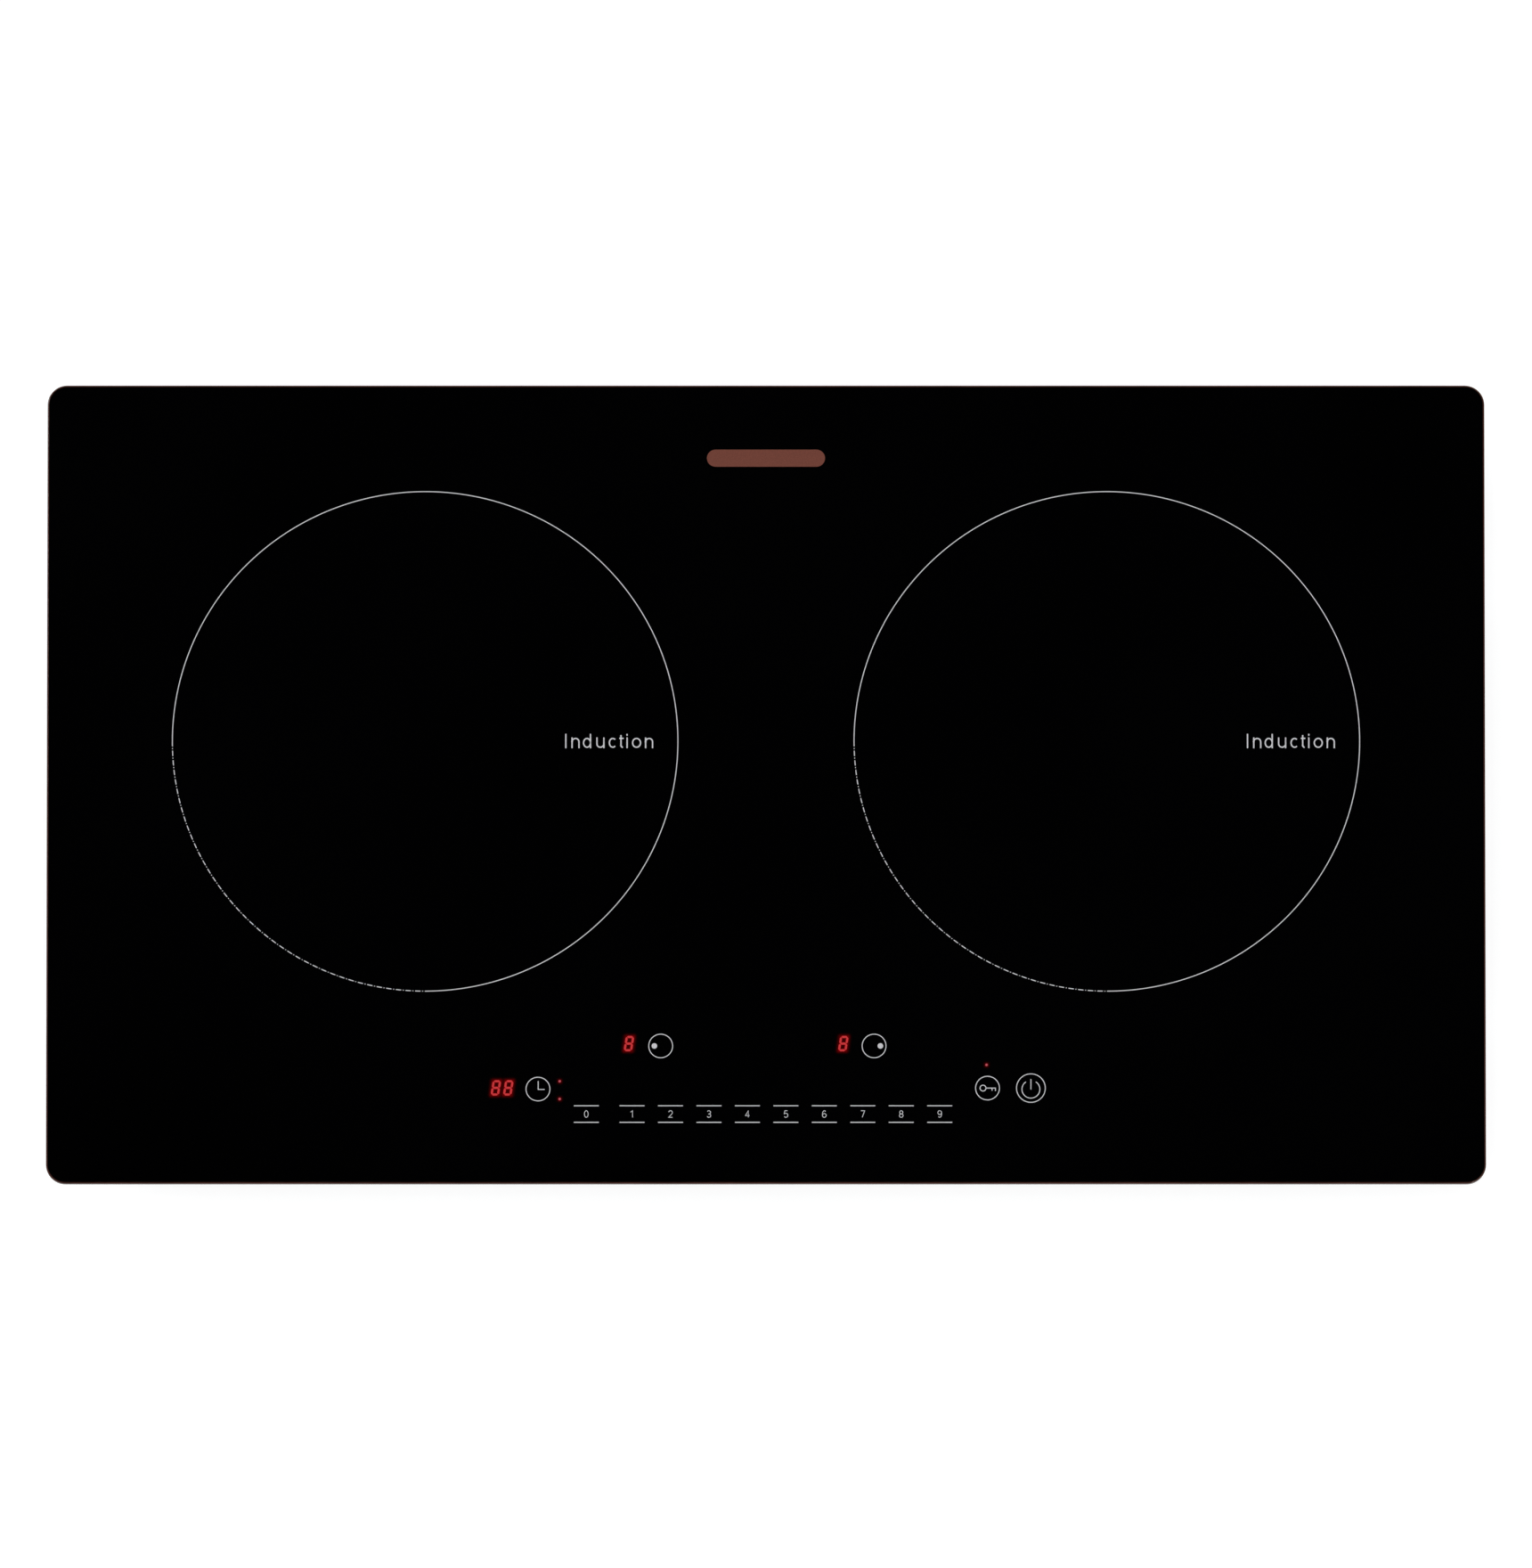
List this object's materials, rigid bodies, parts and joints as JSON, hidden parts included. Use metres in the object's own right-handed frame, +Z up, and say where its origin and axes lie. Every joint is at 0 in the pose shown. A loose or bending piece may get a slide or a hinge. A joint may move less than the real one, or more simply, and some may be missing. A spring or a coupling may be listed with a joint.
{
  "type": "electric induction cooktop",
  "caption": "Drop-in induction hob: black glass plate with ring-marked cooking zones and touch keys, over a steel tray that holds sprung coils, fans and electronics.",
  "frame": {"origin": "centre of the footprint, in the plane of the undersides of the feet", "axes": "+X along the long edge to the user's right, +Y from the user's edge to the rear, +Z up through the glass"},
  "size_m": [0.73, 0.41, 0.063],
  "materials": {
    "black_glass": "polished black glass-ceramic",
    "seal_rubber": "matte EPDM strip",
    "silicone": "satin silicone bead",
    "tray_steel": "galvanised sheet",
    "zinc_steel": "bright zinc plated",
    "spring_steel": "drawn wire",
    "aluminium_sheet": "mill finish",
    "copper_wire": "enamelled copper litz wire",
    "mica": "pressed mica sheet",
    "ceramic_sensor": "matte ceramic",
    "circuit_board": "solder mask on glass-fibre board",
    "black_plastic": "moulded, fine texture",
    "cream_plastic": "moulded, satin",
    "led_display": "red lens over light-emitting segments",
    "wire_insulation": "silicone-insulated wire",
    "foot_rubber": "matte rubber"
  },
  "bodies": {
    "housing": {"glass_panel": "black_glass", "rim_seal": "seal_rubber", "silicone_bead": "silicone", "base_tray": "tray_steel", "control_board": "circuit_board", "control_board_bracket": "black_plastic", "timer_display": "led_display", "ribbon_cable": "wire_insulation", "terminal_block": "cream_plastic", "cable_gland": "black_plastic", "left_coil_deck": "aluminium_sheet", "left_fan_frame": "black_plastic", "left_power_board": "circuit_board", "left_heat_sink": "aluminium_sheet", "left_power_transistor": "black_plastic", "left_capacitor": "cream_plastic", "left_choke": "copper_wire", "left_zone_display": "led_display", "left_coil_lead": "wire_insulation", "left_fan_lead": "wire_insulation", "left_power_lead": "wire_insulation", "left_coil_spring_1": "spring_steel", "left_coil_spring_2": "spring_steel", "left_coil_spring_3": "spring_steel", "left_front_foot": "foot_rubber", "left_front_bracket_screw": "zinc_steel", "left_rear_foot": "foot_rubber", "left_rear_bracket_screw": "zinc_steel", "right_coil_deck": "aluminium_sheet", "right_fan_frame": "black_plastic", "right_power_board": "circuit_board", "right_heat_sink": "aluminium_sheet", "right_power_transistor": "black_plastic", "right_capacitor": "cream_plastic", "right_choke": "copper_wire", "right_zone_display": "led_display", "right_coil_lead": "wire_insulation", "right_fan_lead": "wire_insulation", "right_power_lead": "wire_insulation", "right_coil_spring_1": "spring_steel", "right_coil_spring_2": "spring_steel", "right_coil_spring_3": "spring_steel", "right_front_foot": "foot_rubber", "right_front_bracket_screw": "zinc_steel", "right_rear_foot": "foot_rubber", "right_rear_bracket_screw": "zinc_steel"},
    "left_coil_module": {"left_coil_carrier": "black_plastic", "left_litz_coil": "copper_wire", "left_mica_sheet": "mica", "left_temperature_sensor": "ceramic_sensor"},
    "left_impeller": {"left_fan_impeller": "black_plastic"},
    "left_front_clamp": {"left_front_bracket": "zinc_steel"},
    "left_rear_clamp": {"left_rear_bracket": "zinc_steel"},
    "right_coil_module": {"right_coil_carrier": "black_plastic", "right_litz_coil": "copper_wire", "right_mica_sheet": "mica", "right_temperature_sensor": "ceramic_sensor"},
    "right_impeller": {"right_fan_impeller": "black_plastic"},
    "right_front_clamp": {"right_front_bracket": "zinc_steel"},
    "right_rear_clamp": {"right_rear_bracket": "zinc_steel"}
  },
  "joints": [
    {"name": "left_coil_float", "type": "slide", "parent": "housing", "child": "left_coil_module", "axis": [0, 0, 1], "range_m": [-0.003, 0], "stiffness_N_per_m": 5000, "springref_m": 0.004, "deforming": ["left_coil_spring_1", "left_coil_spring_2", "left_coil_spring_3", "left_coil_lead"]},
    {"name": "left_fan_spin", "type": "hinge", "parent": "housing", "child": "left_impeller", "pos_m": [-0.222, 0.088, 0.02], "axis": [0, 0, 1], "continuous": true},
    {"name": "left_front_clamp_slide", "type": "slide", "parent": "housing", "child": "left_front_clamp", "axis": [0, 0, 1], "range_m": [0, 0.014]},
    {"name": "left_rear_clamp_slide", "type": "slide", "parent": "housing", "child": "left_rear_clamp", "axis": [0, 0, 1], "range_m": [0, 0.014]},
    {"name": "right_coil_float", "type": "slide", "parent": "housing", "child": "right_coil_module", "axis": [0, 0, 1], "range_m": [-0.003, 0], "stiffness_N_per_m": 5000, "springref_m": 0.004, "deforming": ["right_coil_spring_1", "right_coil_spring_2", "right_coil_spring_3", "right_coil_lead"]},
    {"name": "right_fan_spin", "type": "hinge", "parent": "housing", "child": "right_impeller", "pos_m": [0.222, 0.088, 0.02], "axis": [0, 0, 1], "continuous": true},
    {"name": "right_front_clamp_slide", "type": "slide", "parent": "housing", "child": "right_front_clamp", "axis": [0, 0, 1], "range_m": [0, 0.014]},
    {"name": "right_rear_clamp_slide", "type": "slide", "parent": "housing", "child": "right_rear_clamp", "axis": [0, 0, 1], "range_m": [0, 0.014]}
  ]
}
